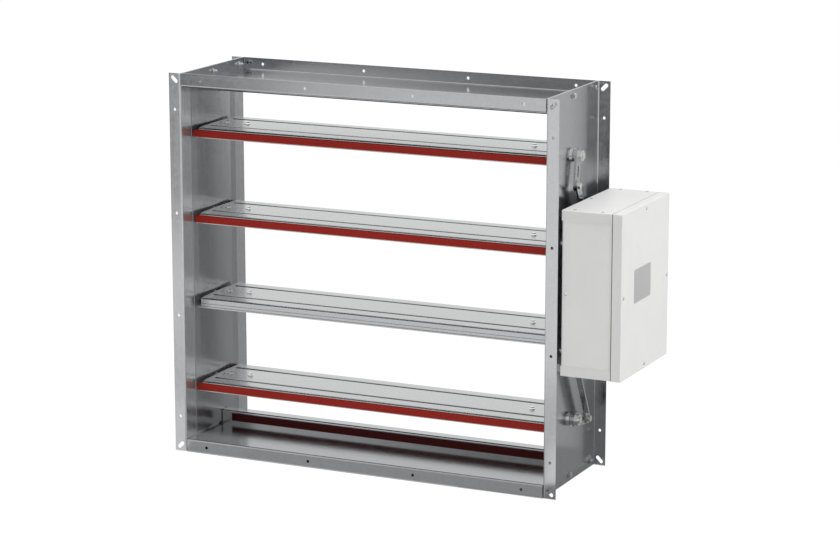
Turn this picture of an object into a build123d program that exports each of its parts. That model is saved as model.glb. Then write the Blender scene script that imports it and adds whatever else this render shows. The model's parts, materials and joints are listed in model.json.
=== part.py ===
from build123d import *

import math
import os

# Smoke control damper: a flanged sheet-steel casing with opposed hollow blades,
# an outside lever linkage and a boxed rotary actuator on the right-hand wall.
# Frame: X across the duct, Y along the air path from the front flange, Z up,
# origin at the centre of the front flange plane. Millimetres.
os.makedirs("parts", exist_ok=True)

# Casing
duct_width = 900.0
duct_height = 830.0
casing_depth = 300.0
casing_sheet = 2.0
flange_width = 30.0
fold_radius = 3.0
channel_gap = 1.0

# Flange drilling
flange_hole_radius = 3.5
side_hole_spacing = 241.0
edge_hole_spacing = 265.0
holes_per_flange = 4
corner_slot_width = 9.0
corner_slot_length = 21.0

# Corner joints between channels and side walls
corner_tab_inset = 5.0
corner_bolt_radius = 3.9
corner_bolt_clearance = 0.3
corner_bolt_inset = 25.0
corner_bolt_head_radius = 7.0
corner_bolt_head_height = 5.0
corner_bolt_tail = 5.0

# Blades
blade_count = 4
blade_pitch = 200.0
blade_thickness = 26.0
blade_sheet = 1.2
blade_end_gap = 14.0
blade_shoulder = 85.0
blade_shoulder_height = 12.4
blade_nose = 95.0
blade_nose_height = 8.0
blade_nose_foot = 0.5
blade_recess = 93.5
blade_recess_height = -1.0
blade_base_height = -10.0
hem_reach = 97.5
hem_height = 2.5
hem_end_gap = 6.0
groove_place = 52.0
groove_width = 12.0
groove_floor_width = 8.0
groove_depth = 5.0

# Blade edge seals
seal_reach = 101.0
seal_gap = 0.15
seal_top_height = 9.0
seal_corner = 2.0
seal_end_gap = 4.0

# Blade end caps
cap_plate = 2.0
cap_lip_width = 12.0
cap_lip_sheet = 1.2
cap_lip_span = 90.0

# Stub axles
axle_radius = 8.0
axle_block_length = 98.0
axle_block_width = 18.0
axle_fit = 0.05
axle_left_tail = 9.0

# Blade screws
screw_radius = 3.0
screw_hole_play = 0.1
screw_depth = 12.0
screw_washer_radius = 7.0
screw_washer_height = 1.2
screw_head_radius = 5.2
screw_head_height = 4.2
screw_first_inset = 22.0
screw_pair_spacing = 54.0

# Bearing bushes
bush_wall = 3.0
bush_flange_radius = 16.0
bush_flange_height = 3.5
bush_inner_length = 10.0

# Stops across the casing
stop_height = 32.0
stop_width = 24.0
stop_sheet = 1.5
stop_seal_height = 18.0
stop_seal_foot = 8.0
stop_seal_thickness = 3.0
stop_seal_play = 0.9
stop_end_gap = 5.0
stop_seal_end_gap = 32.0

# Side seal strips
strip_sheet = 1.0
strip_span = 206.0
strip_edge = 24.0
strip_bow = 2.4
strip_hole_play = 2.0

# Levers and links
lever_radius = 66.0
lever_sheet = 5.0
lever_hub_radius = 16.0
lever_boss_radius = 13.0
lever_boss_gap = 0.5
lever_boss_height = 6.0
lever_eye_radius = 12.0
lever_slot_width = 8.0
lever_slot_length = 24.0
lever_nut_flats = 24.0
lever_nut_height = 8.0
axle_nut_tail = 3.0
link_sheet = 4.0
link_width = 22.0
link_lip_height = 9.0
link_lip_trim = 26.0
link_side_gap = 0.4
pivot_radius = 4.0
pivot_fit = 0.05
pivot_head_radius = 7.5
pivot_head_height = 5.0
pivot_head_gap = 0.3

# Actuator housing
housing_depth = 290.0
housing_height = 370.0
housing_rise = 21.0
housing_reach = 140.0
housing_stand_off = 34.0
housing_sheet = 1.5
housing_lip = 22.0
lid_depth = 22.0
lid_play = 0.6
lid_overlap = 12.0
shaft_hole_radius = 16.0
rail_width = 22.0
rail_inset = 16.0
rail_trim = 20.0
housing_screw_radius = 2.0
housing_screw_head_radius = 4.0
housing_screw_head_height = 1.6
housing_screw_length = 6.0
housing_screw_play = 0.1
housing_screw_inset = 11.0
housing_screw_spread = 64.0

# Rotary actuator
actuator_blade = 1
actuator_length = 215.0
actuator_width = 94.0
actuator_height = 66.0
actuator_corner = 8.0
actuator_head = 47.0
hub_clearance = 4.0
clamp_height = 14.0
clamp_width = 40.0
clamp_bolt_radius = 3.0
clamp_bolt_length = 62.0
drive_tail = 3.0

# Cable gland
gland_radius = 11.0
gland_height = 18.0
gland_nut_flats = 26.0
gland_nut_height = 6.0
gland_bore_radius = 5.0
gland_offset = 80.0

# Places worked out from the sizes above
half_width = duct_width / 2
half_height = duct_height / 2
wall_face = half_width + casing_sheet
flange_edge = half_width + flange_width
casing_top = half_height + flange_width
axis_y = casing_depth / 2
flange_middle = flange_width / 2 + casing_sheet / 2
blade_end = half_width - blade_end_gap
blade_levels = [blade_pitch * ((blade_count - 1) / 2 - place) for place in range(blade_count)]
bush_radius = axle_radius + axle_fit + bush_wall
boss_start = wall_face + bush_flange_height + lever_boss_gap
lever_face = boss_start + lever_boss_height
link_face = lever_face + lever_sheet + link_side_gap
axle_end = lever_face + lever_sheet + lever_nut_height + axle_nut_tail
housing_back = wall_face + housing_stand_off
housing_front = housing_back + housing_reach
housing_rim = housing_front - lid_depth + lid_overlap
housing_top = housing_rise + housing_height / 2
housing_bottom = housing_rise - housing_height / 2
housing_near = axis_y - housing_depth / 2
housing_far = axis_y + housing_depth / 2
actuator_face = housing_back + housing_sheet + actuator_height
drive_end = actuator_face + clamp_height + drive_tail

# Lever angles, measured from +Y towards +Z, for a linkage that swaps its two ends in 90 degrees
swing_share = (1 + math.sqrt(0.5)) * lever_radius / blade_pitch
mean_angle = math.degrees(math.acos(swing_share))
down_angle = -(mean_angle + 45)
rear_angle = -(mean_angle - 45)


def export_node(shape, name):
    shape.label = name
    export_step(shape, f"parts/{name}.step")


def folded_sheet(points, radius, sheet):
    # Cross-section of a folded sheet about its middle line
    with BuildSketch() as section:
        with BuildLine():
            FilletPolyline(*points, radius=radius)
        trace(line_width=sheet)
    return section.sketch


def lever_point(level, angle, radius):
    turn = math.radians(angle)
    return (axis_y + radius * math.cos(turn), level + radius * math.sin(turn))


def flange_places(spacing):
    return [spacing * (place - (holes_per_flange - 1) / 2) for place in range(holes_per_flange)]


# Side walls: channels over the full height, flanges turned outwards
corner_bolt_rows = [corner_bolt_inset, axis_y, casing_depth - corner_bolt_inset]
corner_bolt_level = half_height + flange_middle
for side, name in ((-1, "side_wall_left"), (1, "side_wall_right")):
    middle = half_width + casing_sheet / 2
    wall_points = [
        (side * flange_edge, casing_sheet / 2),
        (side * middle, casing_sheet / 2),
        (side * middle, casing_depth - casing_sheet / 2),
        (side * flange_edge, casing_depth - casing_sheet / 2),
    ]
    with BuildPart() as side_wall:
        with BuildSketch(Plane.XY.offset(-casing_top)):
            add(folded_sheet(wall_points, fold_radius, casing_sheet))
        extrude(amount=2 * casing_top)
        flange_column = side * (half_width + flange_middle)
        with BuildSketch(Plane.XZ.offset(-casing_depth)):
            with Locations(*[(flange_column, z) for z in flange_places(side_hole_spacing)]):
                Circle(flange_hole_radius)
            for end in (-1, 1):
                with Locations((flange_column, end * corner_bolt_level)):
                    SlotOverall(corner_slot_length, corner_slot_width, rotation=45 * side * end)
        extrude(amount=casing_depth, mode=Mode.SUBTRACT)
        with BuildSketch(Plane.YZ.offset(side * middle)):
            with Locations(*[(axis_y, z) for z in blade_levels]):
                Circle(bush_radius + axle_fit)
            with Locations(*[(y, end * corner_bolt_level) for y in corner_bolt_rows for end in (-1, 1)]):
                Circle(corner_bolt_radius + corner_bolt_clearance)
        extrude(amount=casing_sheet, both=True, mode=Mode.SUBTRACT)
    export_node(side_wall.part, name)

# Top and bottom channels: flanges outwards, end tabs bolted to the side walls
channel_length = duct_width - 2 * channel_gap
tab_face = half_width - channel_gap
for end, name in ((1, "top_channel"), (-1, "bottom_channel")):
    middle = end * (half_height + casing_sheet / 2)
    channel_points = [
        (casing_sheet / 2, end * casing_top),
        (casing_sheet / 2, middle),
        (casing_depth - casing_sheet / 2, middle),
        (casing_depth - casing_sheet / 2, end * casing_top),
    ]
    with BuildPart() as channel:
        with BuildSketch(Plane.YZ.offset(-channel_length / 2)):
            add(folded_sheet(channel_points, fold_radius, casing_sheet))
        extrude(amount=channel_length)
        tab_middle = tab_face - casing_sheet / 2
        with Locations(*[(side * tab_middle, axis_y, end * corner_bolt_level) for side in (-1, 1)]):
            Box(casing_sheet, casing_depth - 2 * corner_tab_inset, flange_width - casing_sheet)
        with BuildSketch(Plane.XZ.offset(-casing_depth)):
            with Locations(*[(x, end * corner_bolt_level) for x in flange_places(edge_hole_spacing)]):
                Circle(flange_hole_radius)
        extrude(amount=casing_depth, mode=Mode.SUBTRACT)
        with BuildSketch(Plane.YZ.offset(-half_width)):
            with Locations(*[(y, end * corner_bolt_level) for y in corner_bolt_rows]):
                Circle(corner_bolt_radius + corner_bolt_clearance)
        extrude(amount=duct_width, mode=Mode.SUBTRACT)
    export_node(channel.part, name)

# Corner bolts: heads on the outside, nuts on the tabs
with BuildPart() as corner_bolts:
    for side in (-1, 1):
        bolt_places = [(y, end * corner_bolt_level) for y in corner_bolt_rows for end in (-1, 1)]
        with BuildSketch(Plane.YZ.offset(side * wall_face)):
            with Locations(*bolt_places):
                RegularPolygon(corner_bolt_head_radius, 6)
        extrude(amount=side * corner_bolt_head_height)
        with BuildSketch(Plane.YZ.offset(side * wall_face)):
            with Locations(*bolt_places):
                Circle(corner_bolt_radius)
        extrude(amount=-side * (2 * casing_sheet + channel_gap + corner_bolt_head_height + corner_bolt_tail))
        with BuildSketch(Plane.YZ.offset(side * (tab_face - casing_sheet))):
            with Locations(*bolt_places):
                RegularPolygon(corner_bolt_head_radius, 6)
        extrude(amount=-side * corner_bolt_head_height)
export_node(corner_bolts.part, "corner_bolts")

# Bearing bushes in both side walls
with BuildPart() as bearing_bushes:
    for side in (-1, 1):
        bush_places = [(axis_y, z) for z in blade_levels]
        with BuildSketch(Plane.YZ.offset(side * (half_width - bush_inner_length))):
            with Locations(*bush_places):
                Circle(bush_radius)
        extrude(amount=side * (bush_inner_length + casing_sheet))
        with BuildSketch(Plane.YZ.offset(side * wall_face)):
            with Locations(*bush_places):
                Circle(bush_flange_radius)
        extrude(amount=side * bush_flange_height)
        with BuildSketch(Plane.YZ.offset(side * half_width)):
            with Locations(*bush_places):
                Circle(axle_radius + axle_fit)
        extrude(amount=bush_inner_length + casing_sheet + bush_flange_height, both=True, mode=Mode.SUBTRACT)
export_node(bearing_bushes.part, "bearing_bushes")

# Stops: hollow rails behind the closed blades, each with a seal on its front.
# The top blade closes with its upper skin to the rear, the bottom one with its lower skin.
stop_faces = {
    1: axis_y + blade_shoulder_height + stop_seal_play,
    -1: axis_y - blade_base_height + stop_seal_play,
}
stop_length = duct_width - 2 * stop_end_gap
stop_seal_length = duct_width - 2 * stop_seal_end_gap
for end, name in ((1, "top_stop"), (-1, "bottom_stop")):
    stop_front = stop_faces[end] + stop_seal_thickness
    rail_near = stop_front + stop_sheet / 2
    rail_far = stop_front + stop_width - stop_sheet / 2
    rail_crest = end * (half_height - stop_height + stop_sheet / 2)
    stop_points = [
        (rail_near, end * half_height),
        (rail_near, rail_crest),
        (rail_far, rail_crest),
        (rail_far, end * half_height),
    ]
    with BuildPart() as stop:
        with BuildSketch(Plane.YZ.offset(-stop_length / 2)):
            add(folded_sheet(stop_points, fold_radius, stop_sheet))
        extrude(amount=stop_length)
    export_node(stop.part, name)
    with BuildPart() as stop_seal:
        seal_level = end * (half_height - stop_seal_foot - stop_seal_height / 2)
        with BuildSketch(Plane.YZ.offset(-stop_seal_length / 2)):
            with Locations((stop_front - stop_seal_thickness / 2, seal_level)):
                Rectangle(stop_seal_thickness, stop_seal_height)
        extrude(amount=stop_seal_length)
        fillet(stop_seal.edges().filter_by(Axis.X).group_by(Axis.Y)[0], stop_seal_thickness / 3)
    export_node(stop_seal.part, name + "_seal")

# Side seal strips: bowed spring sheets against the side walls
strip_height = duct_height - 2 * stop_end_gap
for side, name in ((-1, "side_seal_left"), (1, "side_seal_right")):
    strip_base = half_width - strip_sheet / 2
    with BuildPart() as strip:
        with BuildSketch(Plane.XY.offset(-strip_height / 2)):
            with BuildLine():
                near_edge = axis_y - strip_span / 2
                far_edge = axis_y + strip_span / 2
                near_foot = (side * strip_base, near_edge + strip_edge)
                far_foot = (side * strip_base, far_edge - strip_edge)
                Line((side * strip_base, near_edge), near_foot)
                ThreePointArc(near_foot, (side * (strip_base - strip_bow), axis_y), far_foot)
                Line(far_foot, (side * strip_base, far_edge))
            trace(line_width=strip_sheet)
        extrude(amount=strip_height)
        with BuildSketch(Plane.YZ.offset(side * half_width)):
            with Locations(*[(axis_y, z) for z in blade_levels]):
                Circle(bush_radius + strip_hole_play)
        extrude(amount=2 * strip_bow + strip_sheet, both=True, mode=Mode.SUBTRACT)
        notch_width = stop_width + 2 * stop_seal_thickness
        notch_height = stop_height + strip_sheet
        for end, face in stop_faces.items():
            with Locations((side * half_width, face + notch_width / 2, end * half_height)):
                Box(2 * blade_end_gap, notch_width, 2 * notch_height, mode=Mode.SUBTRACT)
    export_node(strip.part, name)

blade_crest = blade_thickness / 2


def shoulder_point(degrees):
    # Point on the rounded shoulder, from the flat of the skin down to the nose
    turn = math.radians(degrees)
    reach = blade_shoulder + (blade_nose - blade_shoulder) * math.sin(turn)
    return (reach, blade_nose_height + (blade_shoulder_height - blade_nose_height) * math.cos(turn))


blade_edge = [
    (groove_place + groove_width / 2, blade_crest),
    *[shoulder_point(degrees) for degrees in (0, 25, 45, 65, 90)],
    (blade_nose, blade_nose_foot),
    (blade_recess, blade_recess_height),
    (blade_recess, blade_base_height),
    (groove_place + groove_width / 2, -blade_crest),
]


def mirrored_face(right_points):
    # Face between a right-hand outline and its mirror image
    left_points = [(-y, z) for y, z in right_points[::-1]]
    with BuildSketch() as face:
        with BuildLine():
            Polyline(*right_points, *left_points, close=True)
        make_face()
    return face.sketch


def blade_outline():
    # Outline of the blade with a groove on each side of both skins
    groove_floor = blade_crest - groove_depth
    top_groove = [
        (groove_place - groove_width / 2, blade_crest),
        (groove_place - groove_floor_width / 2, groove_floor),
        (groove_place + groove_floor_width / 2, groove_floor),
    ]
    bottom_groove = [(y, -z) for y, z in top_groove[::-1]]
    return mirrored_face([*top_groove, *blade_edge, *bottom_groove])


def cap_outline(spread):
    # Outline of the blade without its grooves, let out by a given amount
    with BuildSketch() as outline:
        add(mirrored_face(blade_edge))
        offset(amount=spread, kind=Kind.INTERSECTION)
    return outline.sketch


def seal_outline(side):
    seal_foot = blade_base_height + hem_height + seal_gap
    with BuildSketch() as outline:
        with BuildLine():
            Polyline(
                (side * (blade_nose + seal_gap), seal_top_height),
                (side * (blade_nose + seal_gap), blade_nose_foot),
                (side * (blade_recess + seal_gap), blade_recess_height - seal_gap),
                (side * (blade_recess + seal_gap), seal_foot),
                (side * seal_reach, seal_foot),
                (side * seal_reach, seal_top_height - seal_corner / 2),
                (side * (seal_reach - seal_corner), seal_top_height),
                close=True,
            )
        make_face()
    return outline.sketch


def blade_plane(level, x):
    return Plane(origin=(x, axis_y, level), x_dir=(0, 1, 0), z_dir=(1, 0, 0))


# Blades with their axles, end caps, screws and edge seals
screw_columns = [blade_end - screw_first_inset, blade_end - screw_first_inset - screw_pair_spacing]
axle_block_height = blade_thickness - 2 * blade_sheet - 2 * axle_fit
cap_plate_reach = blade_recess - blade_sheet - seal_gap
seal_edges = {0: (-1,), 1: (-1, 1), 2: (), 3: (-1, 1)}
edge_names = {-1: "front", 1: "rear"}
for place, level in enumerate(blade_levels):
    name = f"blade_{place + 1}"
    screw_places = [(s * x, axis_y) for s in (-1, 1) for x in screw_columns]
    with BuildPart() as blade:
        with BuildSketch(blade_plane(level, -blade_end)):
            add(blade_outline())
            offset(blade_outline(), amount=-blade_sheet, kind=Kind.INTERSECTION, mode=Mode.SUBTRACT)
        extrude(amount=2 * blade_end)
        with BuildSketch(blade_plane(level, hem_end_gap - half_width)):
            for side in (-1, 1):
                hem_width = hem_reach - blade_recess + blade_sheet
                with Locations((side * (hem_reach - hem_width / 2), blade_base_height + hem_height / 2)):
                    Rectangle(hem_width, hem_height)
        extrude(amount=2 * (half_width - hem_end_gap))
        with BuildSketch(Plane.XY.offset(level + blade_thickness / 2)):
            with Locations(*screw_places):
                Circle(screw_radius + screw_hole_play)
        extrude(amount=-2 * blade_sheet, mode=Mode.SUBTRACT)
    export_node(blade.part, name)

    with BuildPart() as axles:
        for side in (-1, 1):
            if side < 0:
                outer_end = wall_face + axle_left_tail
            else:
                outer_end = drive_end if place == actuator_blade else axle_end
            block_end = blade_end - cap_plate
            with BuildSketch(blade_plane(level, side * (block_end - axle_block_length))):
                Rectangle(axle_block_width, axle_block_height)
            extrude(amount=side * axle_block_length)
            with BuildSketch(blade_plane(level, side * block_end)):
                Circle(axle_radius)
            extrude(amount=side * (outer_end - block_end))
        with BuildSketch(Plane.XY.offset(level + blade_thickness / 2)):
            with Locations(*screw_places):
                Circle(screw_radius + screw_hole_play)
        extrude(amount=-screw_depth - screw_hole_play, mode=Mode.SUBTRACT)
    export_node(axles.part, f"{name}_axles")

    with BuildPart() as end_caps:
        for side in (-1, 1):
            with BuildSketch(blade_plane(level, side * blade_end)):
                add(mirrored_face(blade_edge))
                Rectangle(2 * cap_plate_reach, 2 * blade_thickness, mode=Mode.INTERSECT)
            extrude(amount=side * cap_plate)
            with BuildSketch(blade_plane(level, side * blade_end)):
                add(cap_outline(cap_lip_sheet + seal_gap))
                add(cap_outline(seal_gap), mode=Mode.SUBTRACT)
                Rectangle(2 * cap_lip_span, 2 * blade_thickness, mode=Mode.INTERSECT)
            extrude(amount=-side * cap_lip_width)
            with BuildSketch(blade_plane(level, side * blade_end)):
                for edge in (-1, 1):
                    with Locations((0, edge * (blade_thickness / 2 + cap_lip_sheet / 2))):
                        Rectangle(2 * cap_lip_span - 2 * groove_place, cap_lip_sheet)
            extrude(amount=side * cap_plate)
        with BuildSketch(blade_plane(level, 0)):
            Circle(axle_radius + axle_fit)
        extrude(amount=half_width, both=True, mode=Mode.SUBTRACT)
    export_node(end_caps.part, f"{name}_end_caps")

    with BuildPart() as screws:
        with BuildSketch(Plane.XY.offset(level + blade_thickness / 2)):
            with Locations(*screw_places):
                Circle(screw_radius)
        extrude(amount=-screw_depth)
        with BuildSketch(Plane.XY.offset(level + blade_thickness / 2)):
            with Locations(*screw_places):
                Circle(screw_washer_radius)
        extrude(amount=screw_washer_height)
        with BuildSketch(Plane.XY.offset(level + blade_thickness / 2 + screw_washer_height)):
            with Locations(*screw_places):
                RegularPolygon(screw_head_radius, 6)
        extrude(amount=screw_head_height)
    export_node(screws.part, f"{name}_screws")

    for edge in seal_edges[place]:
        with BuildPart() as edge_seal:
            with BuildSketch(blade_plane(level, seal_end_gap - half_width)):
                add(seal_outline(edge))
            extrude(amount=2 * (half_width - seal_end_gap))
        export_node(edge_seal.part, f"{name}_{edge_names[edge]}_seal")

# Levers: the outer blades have one arm, the inner ones two
far_down_angle = -180 - down_angle
far_rear_angle = -180 - rear_angle
lever_arms = {
    0: (down_angle,),
    1: (rear_angle, far_down_angle),
    2: (down_angle, far_rear_angle),
    3: (rear_angle,),
}
slot_middle = (lever_radius + lever_hub_radius - lever_eye_radius) / 2
for place, level in enumerate(blade_levels):
    eyes = [lever_point(level, angle, lever_radius) for angle in lever_arms[place]]
    with BuildPart() as lever:
        with BuildSketch(Plane.YZ.offset(lever_face)):
            with Locations((axis_y, level)):
                Circle(lever_hub_radius)
            with Locations(*eyes):
                Circle(lever_eye_radius)
            make_hull()
        extrude(amount=lever_sheet)
        with BuildSketch(Plane.YZ.offset(boss_start)):
            with Locations((axis_y, level)):
                Circle(lever_boss_radius)
        extrude(amount=lever_boss_height)
        with BuildSketch(Plane.YZ.offset(boss_start)):
            with Locations((axis_y, level)):
                Circle(axle_radius + axle_fit)
            with Locations(*eyes):
                Circle(pivot_radius + pivot_fit)
            for angle in lever_arms[place]:
                with Locations(lever_point(level, angle, slot_middle)):
                    SlotOverall(lever_slot_length, lever_slot_width, rotation=angle)
        extrude(amount=lever_boss_height + lever_sheet, mode=Mode.SUBTRACT)
    export_node(lever.part, f"lever_{place + 1}")

    with BuildPart() as lever_nut:
        with BuildSketch(Plane.YZ.offset(lever_face + lever_sheet)):
            with Locations((axis_y, level)):
                RegularPolygon(lever_nut_flats / 2, 6, major_radius=False)
                Circle(axle_radius + axle_fit, mode=Mode.SUBTRACT)
        extrude(amount=lever_nut_height)
    export_node(lever_nut.part, f"lever_{place + 1}_nut")

# Links between neighbouring levers, hinged on blades two and four
link_outer = link_face + link_sheet
link_ends = {
    "link_1_2": (
        lever_point(blade_levels[0], down_angle, lever_radius),
        lever_point(blade_levels[1], rear_angle, lever_radius),
    ),
    "link_2_3": (
        lever_point(blade_levels[2], far_rear_angle, lever_radius),
        lever_point(blade_levels[1], far_down_angle, lever_radius),
    ),
    "link_3_4": (
        lever_point(blade_levels[2], down_angle, lever_radius),
        lever_point(blade_levels[3], rear_angle, lever_radius),
    ),
}
for name, (open_eye, hinge_eye) in link_ends.items():
    span = math.dist(open_eye, hinge_eye)
    slope = math.degrees(math.atan2(hinge_eye[1] - open_eye[1], hinge_eye[0] - open_eye[0]))
    centre = ((open_eye[0] + hinge_eye[0]) / 2, (open_eye[1] + hinge_eye[1]) / 2)
    with BuildPart() as link:
        with BuildSketch(Plane.YZ.offset(link_face)):
            with Locations(centre):
                SlotCenterToCenter(span, link_width, rotation=slope)
            with Locations(open_eye, hinge_eye):
                Circle(pivot_radius + pivot_fit, mode=Mode.SUBTRACT)
        extrude(amount=link_sheet)
        lip_run = (0, hinge_eye[0] - centre[0], hinge_eye[1] - centre[1])
        with BuildSketch(Plane(origin=(link_face, *centre), x_dir=lip_run, z_dir=(1, 0, 0))):
            with Locations((0, link_sheet / 2 - link_width / 2)):
                Rectangle(span - 2 * link_lip_trim, link_sheet)
        extrude(amount=link_sheet + link_lip_height)
    export_node(link.part, name)

    with BuildPart() as hinge_bolt:
        with BuildSketch(Plane.YZ.offset(lever_face)):
            with Locations(hinge_eye):
                Circle(pivot_radius)
        extrude(amount=lever_sheet + link_side_gap + link_sheet + pivot_head_gap)
        with BuildSketch(Plane.YZ.offset(link_outer + pivot_head_gap)):
            with Locations(hinge_eye):
                RegularPolygon(pivot_head_radius, 6)
        extrude(amount=pivot_head_height)
    export_node(hinge_bolt.part, f"{name}_hinge_bolt")

    with BuildPart() as end_bolt:
        with BuildSketch(Plane.YZ.offset(link_face)):
            with Locations(open_eye):
                Circle(pivot_radius)
        extrude(amount=link_sheet)
        with BuildSketch(Plane.YZ.offset(link_outer)):
            with Locations(open_eye):
                RegularPolygon(pivot_head_radius, 6)
        extrude(amount=pivot_head_height)
    export_node(end_bolt.part, f"{name}_end_bolt")

# Rails that carry the actuator housing on the side wall
rail_length = housing_height - 2 * rail_trim
rail_places = {
    "housing_rail_front": housing_near + rail_inset,
    "housing_rail_rear": housing_far - rail_inset - rail_width,
}
for name, rail_y in rail_places.items():
    with BuildPart() as rail:
        rail_points = [
            (wall_face + housing_sheet / 2, rail_y),
            (wall_face + housing_sheet / 2, rail_y + rail_width / 2),
            (housing_back - housing_sheet / 2, rail_y + rail_width / 2),
            (housing_back - housing_sheet / 2, rail_y + rail_width),
        ]
        with BuildSketch(Plane.XY.offset(housing_rise - rail_length / 2)):
            add(folded_sheet(rail_points, fold_radius, housing_sheet))
        extrude(amount=rail_length)
    export_node(rail.part, name)

# Housing body: back, front and rear panels folded from one sheet
panel_inset = housing_sheet + lid_play
body_near = housing_near + panel_inset + housing_sheet / 2
body_far = housing_far - panel_inset - housing_sheet / 2
drive_level = blade_levels[actuator_blade]
body_points = [
    (housing_rim, body_near),
    (housing_back + housing_sheet / 2, body_near),
    (housing_back + housing_sheet / 2, body_far),
    (housing_rim, body_far),
]
panel_fold = fold_radius - housing_sheet
body_height = housing_height - 2 * (panel_inset + panel_fold)
front_screw_place = (housing_back + housing_screw_inset, housing_rise)
screw_hole_radius = housing_screw_radius + housing_screw_play
with BuildPart() as housing_body:
    with BuildSketch(Plane.XY.offset(housing_rise - body_height / 2)):
        add(folded_sheet(body_points, fold_radius, housing_sheet))
    extrude(amount=body_height)
    with BuildSketch(Plane.YZ.offset(housing_back)):
        with Locations((axis_y, drive_level)):
            Circle(shaft_hole_radius)
    extrude(amount=2 * housing_sheet, both=True, mode=Mode.SUBTRACT)
    with BuildSketch(Plane.XZ.offset(-body_near)):
        with Locations(front_screw_place):
            Circle(screw_hole_radius)
    extrude(amount=housing_sheet, both=True, mode=Mode.SUBTRACT)
export_node(housing_body.part, "housing_body")

# Top and bottom panels: their front and rear lips lap over the body
lid_back = housing_front - lid_depth
panel_reach = lid_back - lid_play - housing_back
panel_middle = housing_back + panel_reach / 2
panel_screw_row = housing_depth / 2 - housing_screw_inset
panel_screw_places = [
    (panel_middle + spread * housing_screw_spread / 2, axis_y + edge * panel_screw_row)
    for spread in (-1, 1)
    for edge in (-1, 1)
]
panel_screw_places.append((housing_back + housing_screw_inset, axis_y))
gland_place = (housing_back + housing_reach / 2, axis_y + gland_offset)
for end, name in ((1, "housing_top_panel"), (-1, "housing_bottom_panel")):
    crown = housing_rise + end * (housing_height / 2 - lid_play - housing_sheet / 2)
    lip_level = crown - end * housing_lip
    lip_near = housing_near + lid_play + housing_sheet / 2
    lip_far = housing_far - lid_play - housing_sheet / 2
    panel_points = [(lip_near, lip_level), (lip_near, crown), (lip_far, crown), (lip_far, lip_level)]
    with BuildPart() as panel:
        with BuildSketch(Plane.YZ.offset(housing_back)):
            add(folded_sheet(panel_points, panel_fold, housing_sheet))
        extrude(amount=panel_reach)
        with BuildSketch(Plane.XY.offset(crown)):
            with Locations(*panel_screw_places):
                Circle(screw_hole_radius)
            if end < 0:
                with Locations(gland_place):
                    Circle(gland_radius + axle_fit)
        extrude(amount=housing_sheet, both=True, mode=Mode.SUBTRACT)
    export_node(panel.part, name)

# Lid: a tray over the open side of the housing
lid_screw_places = [
    (axis_y, housing_top - housing_screw_inset),
    (axis_y, housing_bottom + housing_screw_inset),
    (housing_near + housing_screw_inset, housing_rise),
    (housing_far - housing_screw_inset, housing_rise),
]
with BuildPart() as housing_lid:
    with BuildSketch(Plane.YZ.offset(lid_back)):
        with Locations((axis_y, housing_rise)):
            RectangleRounded(housing_depth, housing_height, fold_radius)
    extrude(amount=lid_depth)
    with BuildSketch(Plane.YZ.offset(lid_back)):
        with Locations((axis_y, housing_rise)):
            Rectangle(housing_depth - 2 * housing_sheet, housing_height - 2 * housing_sheet)
    extrude(amount=lid_depth - housing_sheet, mode=Mode.SUBTRACT)
    outer_rim = housing_lid.faces().sort_by(Axis.X)[-1].edges()
    fillet(outer_rim, housing_sheet)
    with BuildSketch(Plane.YZ.offset(lid_back)):
        with Locations(*lid_screw_places):
            Circle(screw_hole_radius)
    extrude(amount=lid_depth, mode=Mode.SUBTRACT)
export_node(housing_lid.part, "housing_lid")

# Housing screws: four on the lid, the rest along the panels and the front
screw_faces = [
    (Plane.YZ.offset(housing_front), lid_screw_places, 1),
    (Plane.XY.offset(housing_top - lid_play), panel_screw_places, 1),
    (Plane.XY.offset(housing_bottom + lid_play), panel_screw_places, -1),
    (Plane.XZ.offset(-(housing_near + panel_inset)), [front_screw_place], 1),
]
with BuildPart() as housing_screws:
    for face, places, outward in screw_faces:
        with BuildSketch(face):
            with Locations(*places):
                Circle(housing_screw_head_radius)
        extrude(amount=outward * housing_screw_head_height)
        with BuildSketch(face):
            with Locations(*places):
                Circle(housing_screw_radius)
        extrude(amount=-outward * housing_screw_length)
export_node(housing_screws.part, "housing_screws")

# Rotary actuator inside the housing, round the driven axle
actuator_centre = drive_level + actuator_head - actuator_length / 2
with BuildPart() as rotary_actuator:
    with BuildSketch(Plane.YZ.offset(housing_back + housing_sheet)):
        with Locations((axis_y, actuator_centre)):
            RectangleRounded(actuator_width, actuator_length, actuator_corner)
        with Locations((axis_y, drive_level)):
            Circle(axle_radius + hub_clearance, mode=Mode.SUBTRACT)
    extrude(amount=actuator_height)
export_node(rotary_actuator.part, "rotary_actuator")

# Shaft clamp on the end of the driven axle, with its cross bolts
with BuildPart() as shaft_clamp:
    with BuildSketch(Plane.YZ.offset(actuator_face + pivot_head_gap)):
        with Locations((axis_y, drive_level)):
            RectangleRounded(clamp_width, clamp_width, actuator_corner)
            Circle(axle_radius + axle_fit, mode=Mode.SUBTRACT)
    extrude(amount=clamp_height)
    clamp_middle = actuator_face + pivot_head_gap + clamp_height / 2
    with BuildSketch(Plane.XZ.offset(-axis_y)):
        for side in (-1, 1):
            with Locations((clamp_middle, drive_level + side * clamp_width / 3)):
                Circle(clamp_bolt_radius)
    extrude(amount=clamp_bolt_length / 2, both=True)
export_node(shaft_clamp.part, "shaft_clamp")

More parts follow.
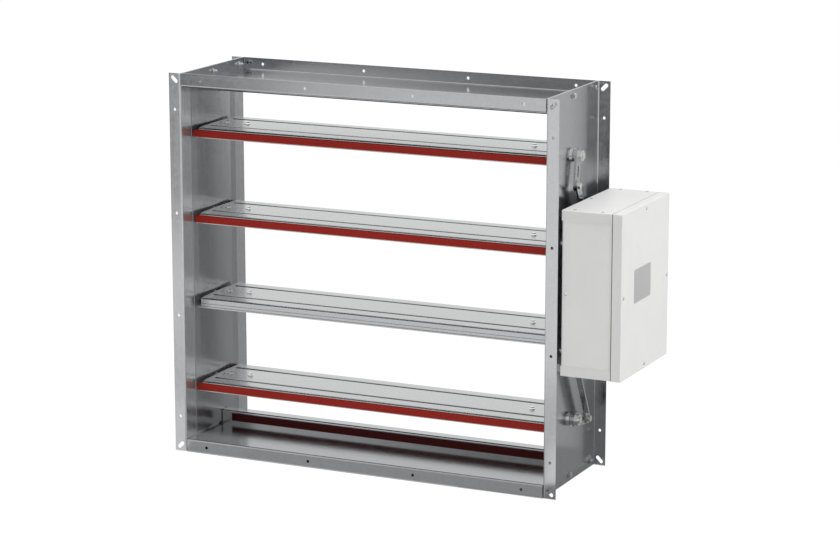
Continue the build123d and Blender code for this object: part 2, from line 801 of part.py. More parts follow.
# Cable gland in the bottom panel
with BuildPart() as cable_gland:
    gland_top = housing_bottom + lid_play
    with BuildSketch(Plane.XY.offset(gland_top)):
        with Locations(gland_place):
            RegularPolygon(gland_nut_flats / 2, 6, major_radius=False)
    extrude(amount=-gland_nut_height)
    with BuildSketch(Plane.XY.offset(gland_top)):
        with Locations(gland_place):
            Circle(gland_radius)
    extrude(amount=-gland_height)
    with BuildSketch(Plane.XY.offset(gland_top)):
        with Locations(gland_place):
            Circle(gland_radius)
    extrude(amount=gland_nut_height)
    with BuildSketch(Plane.XY.offset(gland_top)):
        with Locations(gland_place):
            Circle(gland_bore_radius)
    extrude(amount=gland_height, both=True, mode=Mode.SUBTRACT)
export_node(cable_gland.part, "cable_gland")
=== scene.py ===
import bmesh
import bpy
import json
import math
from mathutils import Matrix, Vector


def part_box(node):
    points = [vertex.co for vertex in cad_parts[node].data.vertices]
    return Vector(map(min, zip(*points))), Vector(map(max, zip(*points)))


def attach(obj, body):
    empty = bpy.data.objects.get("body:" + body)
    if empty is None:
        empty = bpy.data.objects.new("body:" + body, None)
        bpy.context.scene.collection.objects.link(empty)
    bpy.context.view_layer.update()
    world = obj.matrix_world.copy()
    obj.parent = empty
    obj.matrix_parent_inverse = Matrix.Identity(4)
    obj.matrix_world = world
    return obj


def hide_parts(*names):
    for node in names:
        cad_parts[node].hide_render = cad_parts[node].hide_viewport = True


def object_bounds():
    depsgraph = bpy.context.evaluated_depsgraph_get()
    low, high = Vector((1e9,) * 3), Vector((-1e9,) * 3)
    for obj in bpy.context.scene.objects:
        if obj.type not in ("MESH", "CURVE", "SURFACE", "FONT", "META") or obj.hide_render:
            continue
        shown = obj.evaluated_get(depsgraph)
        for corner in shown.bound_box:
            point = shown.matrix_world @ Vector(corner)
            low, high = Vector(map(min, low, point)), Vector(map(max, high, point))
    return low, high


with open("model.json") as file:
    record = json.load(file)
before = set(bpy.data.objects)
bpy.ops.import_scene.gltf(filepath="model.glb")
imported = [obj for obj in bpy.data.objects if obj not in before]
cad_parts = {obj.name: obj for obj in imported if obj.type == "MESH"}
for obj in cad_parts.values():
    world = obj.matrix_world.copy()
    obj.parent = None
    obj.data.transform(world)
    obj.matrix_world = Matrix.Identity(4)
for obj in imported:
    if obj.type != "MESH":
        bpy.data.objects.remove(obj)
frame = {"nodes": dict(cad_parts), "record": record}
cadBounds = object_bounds()
nodes = frame["nodes"]
print("frame loaded:", len(nodes), "nodes")


class Wire:  # a socket that takes part in sums
    def __init__(self, bench, socket):
        self.bench = bench
        self.socket = socket

    def sum(self, operation, first, second):
        return self.bench.node("ShaderNodeMath", {"operation": operation}, {0: first, 1: second})

    def __add__(self, other):
        return self.sum("ADD", self, other)

    def __radd__(self, other):
        return self.sum("ADD", other, self)

    def __sub__(self, other):
        return self.sum("SUBTRACT", self, other)

    def __rsub__(self, other):
        return self.sum("SUBTRACT", other, self)

    def __mul__(self, other):
        return self.sum("MULTIPLY", self, other)

    def __rmul__(self, other):
        return self.sum("MULTIPLY", other, self)

    def __truediv__(self, other):
        return self.sum("DIVIDE", self, other)

    def __rtruediv__(self, other):
        return self.sum("DIVIDE", other, self)

    def __abs__(self):
        return self.sum("ABSOLUTE", self, 0)


class Bench:  # a node tree to build on
    def __init__(self, tree):
        self.tree = tree

    def node(self, kind, settings=None, sockets=None, out=0):
        made = self.tree.nodes.new(kind)
        for key, value in (settings or {}).items():
            if key == "stops":
                self.setStops(made.color_ramp, value)
            else:
                setattr(made, key, value)
        for key, value in (sockets or {}).items():
            self.plug(made.inputs[key], value)
        return Wire(self, made.outputs[out]) if made.outputs else None

    def plug(self, socket, value):
        for each in value if isinstance(value, list) else [value]:
            if isinstance(each, Wire):
                self.tree.links.new(each.socket, socket)
            else:
                socket.default_value = each

    def setStops(self, ramp, stops):
        for place, (position, colour) in enumerate(stops):
            stop = ramp.elements[place] if place < 2 else ramp.elements.new(position)
            stop.position = position
            stop.color = (*colour, 1)


class Finish(Bench):  # one material with its shader
    def __init__(self, name, fixed):
        self.material = bpy.data.materials.new(name)
        self.material.use_nodes = True
        super().__init__(self.material.node_tree)
        self.shader = self.tree.nodes["Principled BSDF"]
        self.feed(fixed)
        self.place = self.node("ShaderNodeTexCoord", out="Object")

    def feed(self, values):
        for label, value in values.items():
            self.plug(self.shader.inputs[label], value)

    def stretch(self, scale):
        return self.node("ShaderNodeMapping", {}, {"Vector": self.place, "Scale": scale})

    def noise(self, vector, scale, detail=3.0, rough=0.55):
        sockets = {"Vector": vector, "Scale": scale, "Detail": detail, "Roughness": rough}
        return self.node("ShaderNodeTexNoise", {}, sockets, "Fac")

    def tint(self, amount, dark, light):
        sockets = {"Factor": amount, 6: (*dark, 1), 7: (*light, 1)}
        return self.node("ShaderNodeMix", {"data_type": "RGBA"}, sockets, 2)

    def over(self, amount, under, colour):
        sockets = {"Factor": amount, 6: under, 7: (*colour, 1)}
        return self.node("ShaderNodeMix", {"data_type": "RGBA"}, sockets, 2)

    def bump(self, height, strength, distance):
        return self.node("ShaderNodeBump", {}, {"Height": height, "Strength": strength, "Distance": distance})


def addObject(name, data):
    made = bpy.data.objects.new(name, data)
    bpy.context.scene.collection.objects.link(made)
    return made


middle = 0.5  # where noise and tone are centred

# Galvanised sheet: spangle crystals, drawn streaks along the rolling direction, soft cloudiness
alongX = (4.0, 220.0, 220.0)
alongZ = (220.0, 220.0, 4.0)
sheetLooks = {
    "casing_upright": {
        "grain": alongZ, "dark": (0.42, 0.43, 0.44), "light": (0.62, 0.63, 0.64),
        "metal": 1.0, "rough": 0.18, "bump": 0.02,
    },
    "casing_dull": {
        "grain": alongZ, "dark": (0.42, 0.43, 0.44), "light": (0.62, 0.63, 0.64),
        "metal": 0.78, "rough": 0.20, "bump": 0.02,
    },
    "casing_level": {
        "grain": alongX, "dark": (0.36, 0.37, 0.38), "light": (0.55, 0.56, 0.57),
        "metal": 1.0, "rough": 0.15, "bump": 0.01,
    },
    "casing_foot": {
        "grain": alongX, "dark": (0.30, 0.31, 0.32), "light": (0.46, 0.47, 0.48),
        "metal": 1.0, "rough": 0.18, "bump": 0.01,
    },
    "blade_sheet": {
        "grain": alongX, "dark": (0.43, 0.435, 0.44), "light": (0.56, 0.565, 0.57),
        "metal": 1.0, "rough": 0.26, "bump": 0.004,
    },
    "strip_sheet": {
        "grain": alongZ, "dark": (0.31, 0.32, 0.33), "light": (0.45, 0.46, 0.47),
        "metal": 0.8, "rough": 0.20, "bump": 0.005,
    },
    "linkage": {
        "grain": alongZ, "dark": (0.46, 0.47, 0.47), "light": (0.60, 0.61, 0.61),
        "metal": 1.0, "rough": 0.28, "bump": 0.003,
    },
}
sheetDetail = {
    "crystalsPerMetre": 130.0, "cloudsPerMetre": 5.0, "streakDetail": 4.0, "cloudDetail": 2.0,
    "crystal": 0.13, "streak": 0.28, "cloud": 0.32,
    "roughSpread": 0.10, "crystalRough": 0.03, "bumpDepth": 0.0003,
}
# Grooves of the blades, in metres from the axle: painted shade darkens their walls and floors, deepest at the
# floor
paintedGrooveShade = {
    "place": 0.052, "halfWidth": 0.0058, "crest": 0.0129, "floor": 0.0116, "colour": (0.13, 0.13, 0.135),
}
bladePitch = 0.2


def sheetFinish(name, look):
    finish = Finish(name, {"Metallic": look["metal"]})
    streaks = finish.noise(finish.stretch(look["grain"]), 1.0, sheetDetail["streakDetail"])
    cells = {"Vector": finish.place, "Scale": sheetDetail["crystalsPerMetre"]}
    crystals = finish.node("ShaderNodeTexVoronoi", {}, cells, "Color")
    crystal = finish.node("ShaderNodeSeparateColor", {}, {"Color": crystals})
    clouds = finish.noise(finish.place, sheetDetail["cloudsPerMetre"], sheetDetail["cloudDetail"])
    tone = middle + (crystal - middle) * sheetDetail["crystal"] + (streaks - middle) * sheetDetail["streak"]
    tone = tone + (clouds - middle) * sheetDetail["cloud"]
    rough = look["rough"] + (streaks - middle) * sheetDetail["roughSpread"]
    colour = finish.tint(tone, look["dark"], look["light"])
    # the blade grooves take painted shade, a dark grey laid over the sheet colour
    if name == "blade_sheet":
        colour = finish.over(grooveShadeShare(finish), colour, paintedGrooveShade["colour"])
    finish.feed({
        "Base Color": colour,
        "Roughness": rough + (crystal - middle) * sheetDetail["crystalRough"],
        "Normal": finish.bump(streaks, look["bump"], sheetDetail["bumpDepth"]),
    })
    return finish.material


def grooveShadeShare(finish):  # how much painted groove shade: 1 at the bottom of a groove, 0 on the skin
    low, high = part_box("blade_2")
    depth = finish.node("ShaderNodeSeparateXYZ", {}, {0: finish.place}, "Y") - (low.y + high.y) / 2
    level = finish.node("ShaderNodeSeparateXYZ", {}, {0: finish.place}, "Z")
    height = level.sum("PINGPONG", level, bladePitch / 2)
    aside = abs(abs(depth) - paintedGrooveShade["place"])
    near = aside.sum("LESS_THAN", aside, paintedGrooveShade["halfWidth"])
    sink = finish.node("ShaderNodeMapRange", {}, {
        "Value": bladePitch / 2 - height, "From Min": paintedGrooveShade["crest"], "From Max": paintedGrooveShade["floor"],
    })
    return near * sink


# Zinc plated bolts, nuts and axles: bright, with a faint mottled chromate tint
zincLook = {
    "dark": (0.62, 0.62, 0.60), "light": (0.86, 0.86, 0.84),
    "rough": 0.13, "roughSpread": 0.12, "mottlePerMetre": 220.0,
}


def zincFinish(name, look):
    finish = Finish(name, {"Metallic": 1.0})
    mottle = finish.noise(finish.place, look["mottlePerMetre"])
    finish.feed({
        "Base Color": finish.tint(mottle, look["dark"], look["light"]),
        "Roughness": look["rough"] + (mottle - middle) * look["roughSpread"],
    })
    return finish.material


# Silicone seals: matt, with fine extrusion lines along their length and a little dust
sealLooks = {
    "blade_seal": {"dark": (0.25, 0.012, 0.008), "light": (0.36, 0.021, 0.013), "rough": 0.55},
    # the stop seal is the same red silicone as the blade seals, painted much darker as shade from the lowest
    # blade above it
    "stop_seal": {"dark": (0.045, 0.004, 0.004), "light": (0.09, 0.008, 0.008), "rough": 0.6},
}
sealDetail = {
    "gloss": 0.12, "lines": (3.0, 420.0, 420.0), "lineDetail": 2.0, "lineShare": 0.5,
    "dustPerMetre": 160.0, "dustDetail": 4.0, "roughSpread": 0.25, "bump": 0.12, "bumpDepth": 0.0006,
}


def sealFinish(name, look):
    finish = Finish(name, {"Specular IOR Level": sealDetail["gloss"]})
    lines = finish.noise(finish.stretch(sealDetail["lines"]), 1.0, sealDetail["lineDetail"])
    dust = finish.noise(finish.place, sealDetail["dustPerMetre"], sealDetail["dustDetail"])
    tone = lines * sealDetail["lineShare"] + dust * (1 - sealDetail["lineShare"])
    finish.feed({
        "Base Color": finish.tint(tone, look["dark"], look["light"]),
        "Roughness": look["rough"] + (dust - middle) * sealDetail["roughSpread"],
        "Normal": finish.bump(lines, sealDetail["bump"], sealDetail["bumpDepth"]),
    })
    return finish.material


# Pale housing sheet: a satin, slightly grainy coat with a few faint marks
housingLooks = {
    "housing_body": {"dark": (0.70, 0.70, 0.70), "light": (0.80, 0.80, 0.79)},
    "housing_panel": {"dark": (0.65, 0.65, 0.65), "light": (0.75, 0.75, 0.74)},
}
housingDetail = {
    "gloss": 0.4, "rough": 0.5, "roughSpread": 0.2, "bump": 0.08, "bumpDepth": 0.0003,
    "grainPerMetre": 420.0, "grainDetail": 2.0, "grainShare": 0.45, "cloudsPerMetre": 14.0,
    "mark": (0.56, 0.56, 0.56), "marksPerMetre": 38.0, "markDetail": 5.0, "markRough": 0.7,
    "markFrom": 0.62, "markTo": 0.78, "markShare": 0.5,
}


def housingFinish(name, look):
    detail = housingDetail
    finish = Finish(name, {"Specular IOR Level": detail["gloss"]})
    grain = finish.noise(finish.place, detail["grainPerMetre"], detail["grainDetail"])
    clouds = finish.noise(finish.place, detail["cloudsPerMetre"])
    marks = finish.noise(finish.place, detail["marksPerMetre"], detail["markDetail"], detail["markRough"])
    marked = finish.node("ShaderNodeMapRange", {}, {
        "Value": marks, "From Min": detail["markFrom"], "From Max": detail["markTo"],
    })
    tone = grain * detail["grainShare"] + clouds * (1 - detail["grainShare"])
    coat = finish.tint(tone, look["dark"], look["light"])
    finish.feed({
        "Base Color": finish.over(marked * detail["markShare"], coat, detail["mark"]),
        "Roughness": detail["rough"] + (grain - middle) * detail["roughSpread"],
        "Normal": finish.bump(grain, detail["bump"], detail["bumpDepth"]),
    })
    return finish.material


# Moulded plastic: fine spark-eroded texture
plasticLooks = {
    "actuator_case": {"dark": (0.030, 0.032, 0.036), "light": (0.060, 0.062, 0.068), "rough": 0.52},
    "gland": {"dark": (0.016, 0.016, 0.016), "light": (0.035, 0.035, 0.035), "rough": 0.42},
}
plasticDetail = {
    "grainPerMetre": 900.0, "grainDetail": 2.0, "roughSpread": 0.18, "bump": 0.18, "bumpDepth": 0.0003,
}


def plasticFinish(name, look):
    finish = Finish(name, {})
    grain = finish.noise(finish.place, plasticDetail["grainPerMetre"], plasticDetail["grainDetail"])
    finish.feed({
        "Base Color": finish.tint(grain, look["dark"], look["light"]),
        "Roughness": look["rough"] + (grain - middle) * plasticDetail["roughSpread"],
        "Normal": finish.bump(grain, plasticDetail["bump"], plasticDetail["bumpDepth"]),
    })
    return finish.material


# Bare plate on the lid: brushed silver film
plateLook = {
    "lines": (260.0, 9.0, 520.0), "dark": (0.44, 0.44, 0.44), "light": (0.58, 0.58, 0.58),
    "metal": 0.35, "rough": 0.42, "roughSpread": 0.2,
}


def plateFinish(name, look):
    finish = Finish(name, {"Metallic": look["metal"]})
    lines = finish.noise(finish.stretch(look["lines"]), 1.0)
    finish.feed({
        "Base Color": finish.tint(lines, look["dark"], look["light"]),
        "Roughness": look["rough"] + (lines - middle) * look["roughSpread"],
    })
    return finish.material


finishes = {name: sheetFinish(name, look) for name, look in sheetLooks.items()}
finishes.update({name: sealFinish(name, look) for name, look in sealLooks.items()})
finishes.update({name: plasticFinish(name, look) for name, look in plasticLooks.items()})
finishes.update({name: housingFinish(name, look) for name, look in housingLooks.items()})
finishes["zinc"] = zincFinish("zinc", zincLook)
finishes["plate"] = plateFinish("plate", plateLook)
print("finishes made:", len(finishes))

# Which finish each material slot of the record takes
slotFinish = {
    "blade_steel": "blade_sheet", "zinc_hardware": "zinc", "linkage_steel": "linkage",
    "spring_sheet": "strip_sheet", "blade_seal": "blade_seal", "stop_seal": "stop_seal",
    "housing_steel": "housing_panel", "actuator_case": "actuator_case", "gland_plastic": "gland",
}
ownFinish = {
    "housing_body": "housing_body", "side_wall_left": "casing_dull", "side_wall_right": "casing_upright",
    "housing_rail_front": "casing_upright", "housing_rail_rear": "casing_upright",
    "bottom_channel": "casing_foot",
}
slotOf = {row["node"]: row["material_slot"] for row in frame["record"]["subparts"]}
for name, piece in nodes.items():
    chosen = ownFinish.get(name) or slotFinish.get(slotOf[name], "casing_level")
    piece.data.materials.clear()
    piece.data.materials.append(finishes[chosen])
print("finishes given to", len(nodes), "nodes")


# Fasteners, instanced on points that carry the way they face
fastenerShape = {
    "flats": 6, "turnedSides": 40, "chamferStart": 0.84, "chamferSlope": 1.5,
    "washerSides": 32, "shankSides": 20,
    "domeSides": 28, "domeRings": 16, "crossReach": 1.1, "crossWidth": 0.26,
}


def fastenerTree(name, sizes, crossHead):
    tree = bpy.data.node_groups.new(name, "GeometryNodeTree")
    bench = Bench(tree)
    tree.interface.new_socket("Geometry", in_out="OUTPUT", socket_type="NodeSocketGeometry")
    tree.interface.new_socket("Seats", in_out="INPUT", socket_type="NodeSocketGeometry")
    for label in sizes:
        tree.interface.new_socket(label, in_out="INPUT", socket_type="NodeSocketFloat")
    tree.interface.new_socket("Finish", in_out="INPUT", socket_type="NodeSocketMaterial")
    given = {label: bench.node("NodeGroupInput", out=label) for label in ("Seats", *sizes, "Finish")}
    shape = fastenerShape

    def cylinder(sides, radius, height, start):
        size = {"Vertices": sides, "Radius": radius, "Depth": height}
        return lifted(bench.node("GeometryNodeMeshCylinder", {}, size, "Mesh"), start + height * 0.5)

    def lifted(mesh, height, scale=(1, 1, 1)):
        shift = bench.node("ShaderNodeCombineXYZ", {}, {"Z": height})
        sockets = {"Geometry": mesh, "Translation": shift, "Scale": scale}
        return bench.node("GeometryNodeTransform", {}, sockets)

    def common(first, second):
        settings = {"operation": "INTERSECT", "solver": "MANIFOLD"}
        return bench.node("GeometryNodeMeshBoolean", settings, {"Mesh 2": [first, second]})

    def without(first, second):
        settings = {"operation": "DIFFERENCE", "solver": "MANIFOLD"}
        return bench.node("GeometryNodeMeshBoolean", settings, {"Mesh 1": first, "Mesh 2": second})

    def hexagon(start):  # six flats with a turned chamfer
        flats = cylinder(shape["flats"], given["Head Radius"], given["Head Height"], start)
        top = given["Head Radius"] * shape["chamferStart"]
        cone = bench.node("GeometryNodeMeshCone", {}, {
            "Vertices": shape["turnedSides"], "Depth": given["Head Height"], "Radius Top": top,
            "Radius Bottom": top + given["Head Height"] * shape["chamferSlope"],
        }, "Mesh")
        return common(flats, lifted(cone, start + given["Head Height"] * 0.5))

    def domed(start):  # pan head with a cross recess
        ball = bench.node("GeometryNodeMeshUVSphere", {}, {
            "Segments": shape["domeSides"], "Rings": shape["domeRings"], "Radius": given["Head Radius"],
        })
        squat = given["Head Height"] / given["Head Radius"]
        cap = lifted(ball, start, bench.node("ShaderNodeCombineXYZ", {}, {"X": 1, "Y": 1, "Z": squat}))
        for long, short in (("X", "Y"), ("Y", "X")):
            bar = bench.node("ShaderNodeCombineXYZ", {}, {
                long: given["Head Radius"] * shape["crossReach"],
                short: given["Head Radius"] * shape["crossWidth"],
                "Z": given["Head Height"],
            })
            slot = bench.node("GeometryNodeMeshCube", {}, {"Size": bar}, "Mesh")
            cap = without(cap, lifted(slot, start + given["Head Height"]))
        return cap

    head = domed if crossHead else hexagon
    washer = cylinder(shape["washerSides"], given["Washer Radius"], given["Washer Height"], 0)
    length = given["Shank Length"]
    shank = cylinder(shape["shankSides"], given["Shank Radius"], length, length * -1)
    pieces = [shank, washer, head(given["Washer Height"])]
    if "Nut Drop" in sizes:
        pieces.append(hexagon((given["Nut Drop"] + given["Head Height"]) * -1))
    whole = bench.node("GeometryNodeJoinGeometry", {}, {"Geometry": pieces})
    facing = bench.node("GeometryNodeInputNamedAttribute", {"data_type": "FLOAT_VECTOR"}, {"Name": "facing"})
    turn = bench.node("FunctionNodeAlignRotationToVector", {"axis": "Z"}, {"Vector": facing})
    placing = {"Points": given["Seats"], "Instance": whole, "Rotation": turn}
    rows = bench.node("GeometryNodeInstanceOnPoints", {}, placing)
    solid = bench.node("GeometryNodeRealizeInstances", {}, {"Geometry": rows})
    dressed = bench.node("GeometryNodeSetMaterial", {}, {"Geometry": solid, "Material": given["Finish"]})
    bench.node("NodeGroupOutput", {}, {0: dressed})
    return tree


def fasten(name, seats, tree, sizes, finish):
    mesh = bpy.data.meshes.new(name)
    mesh.from_pydata([place for place, facing in seats], [], [])
    facings = mesh.attributes.new("facing", "FLOAT_VECTOR", "POINT")
    facings.data.foreach_set("vector", [value for place, facing in seats for value in facing])
    piece = addObject(name, mesh)
    modifier = piece.modifiers.new("rows", "NODES")
    modifier.node_group = tree
    keys = {item.name: item.identifier for item in tree.interface.items_tree if item.in_out == "INPUT"}
    for label, value in sizes.items():
        modifier[keys[label]] = value
    modifier[keys["Finish"]] = finish
    evaluated = piece.evaluated_get(bpy.context.evaluated_depsgraph_get())
    made = bpy.data.meshes.new_from_object(evaluated)
    piece.modifiers.clear()
    piece.data = made
    made.name = name
    return piece


# Corner bolts through the side walls, with nuts on the tabs
cornerBolt = {
    "Head Radius": 0.007, "Head Height": 0.005, "Washer Radius": 0.0066, "Washer Height": 0.0003,
    "Shank Radius": 0.0039, "Shank Length": 0.015, "Nut Drop": 0.005,
}
hexTree = fastenerTree("hexBolt", cornerBolt, False)
low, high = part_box("corner_bolts")
boltSeat = high.x - cornerBolt["Head Height"]
boltRows = (low.y + cornerBolt["Head Radius"], (low.y + high.y) / 2, high.y - cornerBolt["Head Radius"])
boltLevel = high.z - cornerBolt["Head Radius"] * math.cos(math.pi / 6)
cornerSizes = dict(cornerBolt)
cornerSizes["Head Height"] -= cornerBolt["Washer Height"]
cornerSeats = [
    ((side * boltSeat, y, end * boltLevel), (side, 0, 0))
    for side in (-1, 1) for y in boltRows for end in (-1, 1)
]
cornerBolts = fasten("cornerBolts", cornerSeats, hexTree, cornerSizes, finishes["zinc"])
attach(cornerBolts, "casing")
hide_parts("corner_bolts")
print("corner bolts:", len(cornerSeats))

# Blade screws through the skins into the axle blocks
bladeScrew = {
    "Head Radius": 0.0052, "Head Height": 0.0042, "Washer Radius": 0.007, "Washer Height": 0.0012,
    "Shank Radius": 0.003, "Shank Length": 0.012,
}
bladeScrewSpacing = 0.054
screwTree = fastenerTree("hexScrew", bladeScrew, False)
for number in (1, 2, 3, 4):
    low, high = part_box(f"blade_{number}_screws")
    outer = high.x - bladeScrew["Washer Radius"]
    seatLevel = high.z - bladeScrew["Head Height"] - bladeScrew["Washer Height"]
    seats = [
        ((side * (outer - step * bladeScrewSpacing), (low.y + high.y) / 2, seatLevel), (0, 0, 1))
        for side in (-1, 1) for step in (0, 1)
    ]
    screws = fasten(f"bladeScrews{number}", seats, screwTree, bladeScrew, finishes["zinc"])
    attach(screws, f"blade_{number}")
    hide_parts(f"blade_{number}_screws")
print("blade screws made")

# Housing screws: four on the lid, five on each panel, one on the front
housingScrew = {
    "Head Radius": 0.004, "Head Height": 0.0015, "Washer Radius": 0.0039, "Washer Height": 0.0001,
    "Shank Radius": 0.002, "Shank Length": 0.006,
}
housingScrewInset = 0.011
housingScrewSpread = 0.064
panTree = fastenerTree("panScrew", housingScrew, True)
lidLow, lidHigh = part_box("housing_lid")
topLow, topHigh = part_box("housing_top_panel")
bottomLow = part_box("housing_bottom_panel")[0]
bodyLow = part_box("housing_body")[0]
middleY = (lidLow.y + lidHigh.y) / 2
middleZ = (lidLow.z + lidHigh.z) / 2
panelMiddle = (topLow.x + topHigh.x) / 2
panelReach = (lidHigh.y - lidLow.y) / 2 - housingScrewInset
panelPlaces = [
    (panelMiddle + spread * housingScrewSpread / 2, middleY + edge * panelReach)
    for spread in (-1, 1) for edge in (-1, 1)
]
panelPlaces.append((topLow.x + housingScrewInset, middleY))
lidPlaces = [
    (middleY, lidHigh.z - housingScrewInset), (middleY, lidLow.z + housingScrewInset),
    (lidLow.y + housingScrewInset, middleZ), (lidHigh.y - housingScrewInset, middleZ),
]
housingSeats = [((lidHigh.x, y, z), (1, 0, 0)) for y, z in lidPlaces]
housingSeats += [((x, y, topHigh.z), (0, 0, 1)) for x, y in panelPlaces]
housingSeats += [((x, y, bottomLow.z), (0, 0, -1)) for x, y in panelPlaces]
housingSeats.append(((bodyLow.x + housingScrewInset, bodyLow.y, middleZ), (0, -1, 0)))
housingScrews = fasten("housingScrews", housingSeats, panTree, housingScrew, finishes["zinc"])
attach(housingScrews, "casing")
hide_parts("housing_screws")
print("housing screws:", len(housingSeats))

# Bare plate on the lid
barePlate = {"near": 0.076, "width": 0.100, "rise": 0.012, "height": 0.074, "corner": 0.004, "thick": 0.0006}
cornerSteps = 6  # straight pieces in each rounded corner


def roundedLoop(width, height, corner):
    loop = []
    for acrossSign, upSign, start in ((1, 1, 0), (-1, 1, 90), (-1, -1, 180), (1, -1, 270)):
        for step in range(cornerSteps + 1):
            angle = math.radians(start + step * 90 / cornerSteps)
            across = acrossSign * (width / 2 - corner) + corner * math.cos(angle)
            up = upSign * (height / 2 - corner) + corner * math.sin(angle)
            loop.append((across, up))
    return loop


def finishPiece(name, shape, place, finish):
    bmesh.ops.recalc_face_normals(shape, faces=shape.faces)
    bmesh.ops.translate(shape, verts=shape.verts, vec=place)
    mesh = bpy.data.meshes.new(name)
    shape.to_mesh(mesh)
    shape.free()
    mesh.materials.append(finishes[finish])
    piece = addObject(name, mesh)
    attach(piece, "casing")
    return piece


def thicken(shape, thick):
    raised = bmesh.ops.extrude_face_region(shape, geom=list(shape.faces))
    moved = [item for item in raised["geom"] if isinstance(item, bmesh.types.BMVert)]
    bmesh.ops.translate(shape, verts=moved, vec=(thick, 0, 0))


plateShape = bmesh.new()
plateLoop = roundedLoop(barePlate["width"], barePlate["height"], barePlate["corner"])
plateShape.faces.new([plateShape.verts.new((0, across, up)) for across, up in plateLoop])
thicken(plateShape, barePlate["thick"])
plateY = lidLow.y + barePlate["near"] + barePlate["width"] / 2
platePlace = Vector((lidHigh.x, plateY, middleZ + barePlate["rise"]))
plate = finishPiece("barePlate", plateShape, platePlace, "plate")
print("bare plate made")

# Dark strip in the joint between the lid and the panels: painted shade of the gap, in the black gland plastic
lidJointShade = {"inset": 0.0003, "deep": 0.0018, "wide": 0.0015, "corner": 0.003}
jointShadeShape = bmesh.new()
lidSpan = lidHigh - lidLow
jointShadeLoops = []
for inset in (lidJointShade["inset"], lidJointShade["inset"] + lidJointShade["deep"]):
    loop = roundedLoop(lidSpan.y - 2 * inset, lidSpan.z - 2 * inset, lidJointShade["corner"])
    jointShadeLoops.append([jointShadeShape.verts.new((0, across, up)) for across, up in loop])
outerLoop, innerLoop = jointShadeLoops
for step in range(len(outerLoop)):
    jointShadeShape.faces.new((outerLoop[step - 1], outerLoop[step], innerLoop[step], innerLoop[step - 1]))
thicken(jointShadeShape, lidJointShade["wide"])
jointShadePlace = Vector((lidLow.x - lidJointShade["wide"], middleY, middleZ))
jointShadeStrip = finishPiece("lidJointShade", jointShadeShape, jointShadePlace, "gland")
print("lid trim made")

# Studio: pale floor, soft lamps and cards that only reflections see
studio = {
    "floorDrop": 0.0004, "floorReach": 40.0, "floorColour": (0.88, 0.88, 0.88),
    "floorGlow": 0.96, "floorStrength": 1.04, "worldColour": (1.0, 1.0, 1.0), "worldShare": 0.5,
}


def rayShare(bench):  # 1 for what the camera, mirrors and glass see
    kinds = ("Camera", "Glossy", "Transmission")
    eye, mirror, glass = (bench.node("ShaderNodeLightPath", out=f"Is {kind} Ray") for kind in kinds)
    return bench.node("ShaderNodeClamp", {}, {"Value": eye + mirror + glass})


def underShare(bench):  # 1 on the floor below the casing, which stays in its shadow
    place = bench.node("ShaderNodeTexCoord", out="Object")
    low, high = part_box("bottom_channel")
    across = abs(bench.node("ShaderNodeSeparateXYZ", {}, {0: place}, "X"))
    along = abs(bench.node("ShaderNodeSeparateXYZ", {}, {0: place}, "Y") - (low.y + high.y) / 2)
    return across.sum("LESS_THAN", across, high.x) * along.sum("LESS_THAN", along, (high.y - low.y) / 2)


def addStage(name, corners):  # a flat sheet of the studio and the tree of its material
    mesh = bpy.data.meshes.new(name)
    mesh.from_pydata(corners, [], [(0, 1, 2, 3)])
    material = bpy.data.materials.new(name)
    material.use_nodes = True
    material.node_tree.nodes.clear()
    mesh.materials.append(material)
    return addObject(name, mesh), Bench(material.node_tree)


def makeFloor():
    reach = studio["floorReach"]
    level = cadBounds[0].z - studio["floorDrop"]
    corners = [(-reach, -reach, level), (reach, -reach, level), (reach, reach, level), (-reach, reach, level)]
    floor, bench = addStage("floor", corners)
    paint = bench.node("ShaderNodeBsdfDiffuse", {}, {"Color": (*studio["floorColour"], 1)})
    light = {"Color": (1, 1, 1, 1), "Strength": studio["floorStrength"]}
    glow = bench.node("ShaderNodeEmission", {}, light)
    share = rayShare(bench) * studio["floorGlow"] * (1 - underShare(bench))
    mixed = bench.node("ShaderNodeMixShader", {}, {0: share, 1: paint, 2: glow})
    bench.node("ShaderNodeOutputMaterial", {}, {0: mixed})


def makeWorld():
    world = bpy.data.worlds.new("studio")
    bpy.context.scene.world = world
    world.use_nodes = True
    bench = Bench(world.node_tree)
    strength = studio["worldShare"] + rayShare(bench) * (1 - studio["worldShare"])
    background = world.node_tree.nodes["Background"]
    bench.plug(background.inputs["Color"], (*studio["worldColour"], 1))
    bench.plug(background.inputs["Strength"], strength)


lamps = {
    "keyRight": {"place": (5.0, -0.5, 4.0), "size": 3.0, "power": 190.0},
    "frontFill": {"place": (-2.5, -6.0, 2.5), "size": 3.0, "power": 20.0},
    "top": {"place": (0.0, 0.5, 5.0), "size": 4.0, "power": 120.0},
}
lampAim = Vector((0.1, 0.14, 0.0))


def makeLamp(name, lamp):
    light = bpy.data.lights.new(name, "AREA")
    light.size = lamp["size"]
    light.energy = lamp["power"]
    holder = addObject(name, light)
    holder.location = lamp["place"]
    holder.rotation_euler = (lampAim - holder.location).to_track_quat("-Z", "Y").to_euler()
    holder.visible_glossy = False


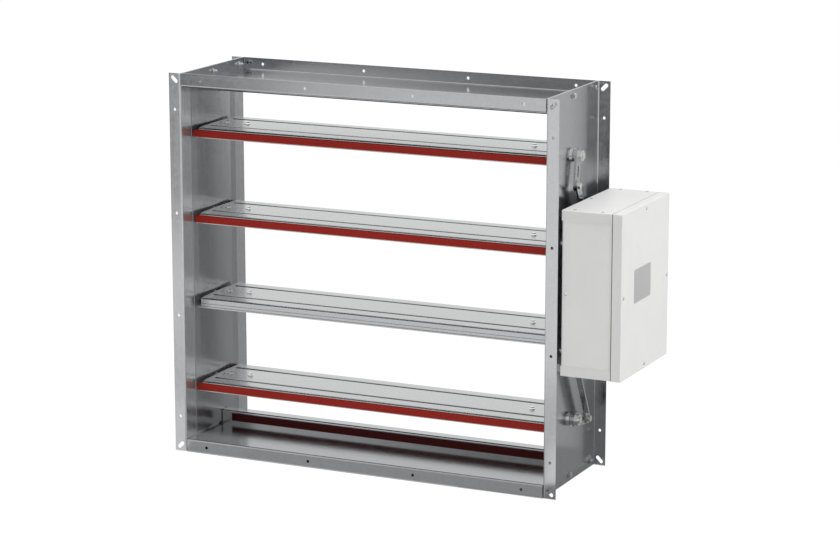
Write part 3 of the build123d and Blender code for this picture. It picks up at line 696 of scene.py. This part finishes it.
# Grey mats and cards that only reflections see: a corner, two sides, and tones along the first side
mats = {
    "matRear": {
        "corner": (-0.895, 0.651, -0.4435), "across": (2.083, -1.193, 0.0), "along": (3.33, 5.816, 0.0),
        "tones": (
            (0.0, 0.42), (0.20, 0.44), (0.23, 0.44), (0.262, 0.34), (0.28, 0.22), (0.42, 0.15), (0.58, 0.25),
            (1.0, 0.6),
        ),
    },
    "matFront": {
        "corner": (-3.0, -2.3, -0.4435), "across": (3.0, 0.0, 0.0), "along": (-4.8, -9.7, 0.0),
        "tones": ((0.0, 0.22), (0.38, 0.25), (0.52, 0.80), (0.65, 0.92), (0.80, 1.0), (1.0, 1.0)),
    },
    "matFlanges": {
        "corner": (-1.3, -0.95, -0.4435), "across": (1.8, 0.0, 0.0), "along": (0.0, 0.55, 0.0),
        "tones": ((0.0, 0.80), (1.0, 0.76)),
    },
    "matFoot": {
        "corner": (-0.452, -0.001, -0.4431), "across": (0.904, 0.0, 0.0), "along": (-0.165, -0.40, 0.0),
        "tones": ((0.0, 0.61), (1.0, 0.55)),
    },
    "matBeside": {
        "corner": (0.47, -0.70, -0.4432), "across": (0.55, 0.0, 0.0), "along": (0.0, 1.09, 0.0),
        "tones": ((0.0, 0.30), (1.0, 0.30)),
    },
    "matCorner": {
        "corner": (1.034, -2.58, -0.4435), "across": (0.932, 0.363, 0.0), "along": (2.9, -7.46, 0.0),
        "tones": ((0.0, 0.04), (1.0, 0.04)),
    },
    "cardWallUpper": {
        "corner": (0.49, 0.40, 0.0), "across": (0.26, 0.0, 0.0), "along": (0.0, 0.0, 0.62),
        "tones": ((0.0, 0.20), (0.13, 0.42), (0.28, 0.62), (1.0, 0.66)),
    },
    "cardWallLower": {
        "corner": (0.49, 0.40, -0.443), "across": (0.26, 0.0, 0.0), "along": (0.0, 0.0, 0.443),
        "tones": ((0.0, 0.20), (0.25, 0.44), (1.0, 0.50)),
    },
    "cardHigh": {
        "corner": (-3.4, -5.0, 0.5), "across": (2.5, 0.0, 0.0), "along": (0.0, 0.0, 2.5),
        "tones": ((0.0, 0.95), (0.30, 0.90), (0.45, 0.50), (0.60, 0.36), (1.0, 0.42)),
    },
}


def makeMat(name, mat):
    corner, across, along = (Vector(mat[key]) for key in ("corner", "across", "along"))
    piece, bench = addStage(name, [corner, corner + across, corner + across + along, corner + along])
    place = bench.node("ShaderNodeTexCoord", out="Object")
    side = along.cross(across.cross(along))  # square to the second side, in the sheet
    run = side / across.dot(side)
    share = bench.node("ShaderNodeVectorMath", {"operation": "DOT_PRODUCT"}, {0: place, 1: run}, "Value")
    stops = [(position, (tone, tone, tone)) for position, tone in mat["tones"]]
    colour = bench.node("ShaderNodeValToRGB", {"stops": stops}, {0: share - corner.dot(run)})
    glow = bench.node("ShaderNodeEmission", {}, {"Color": colour, "Strength": 1.0})
    bench.node("ShaderNodeOutputMaterial", {}, {0: glow})
    piece.visible_camera = False
    piece.visible_diffuse = False
    piece.visible_shadow = False


makeFloor()
makeWorld()
for name, lamp in lamps.items():
    makeLamp(name, lamp)
for name, mat in mats.items():
    makeMat(name, mat)
print("studio lit")

# Camera at the photograph's viewing angle
view = {"place": (2.7595, -5.5776, 1.3768), "yaw": 25.064, "pitch": -12.419, "lens": 122.01, "sensor": 36.0}
camera = bpy.data.cameras.new("camera")
camera.lens = view["lens"]
camera.sensor_width = view["sensor"]
holder = addObject("camera", camera)
holder.location = view["place"]
holder.rotation_euler = (math.radians(90 + view["pitch"]), 0, math.radians(view["yaw"]))
bpy.context.scene.camera = holder
bpy.context.scene.view_settings.view_transform = "Standard"
print("camera placed")
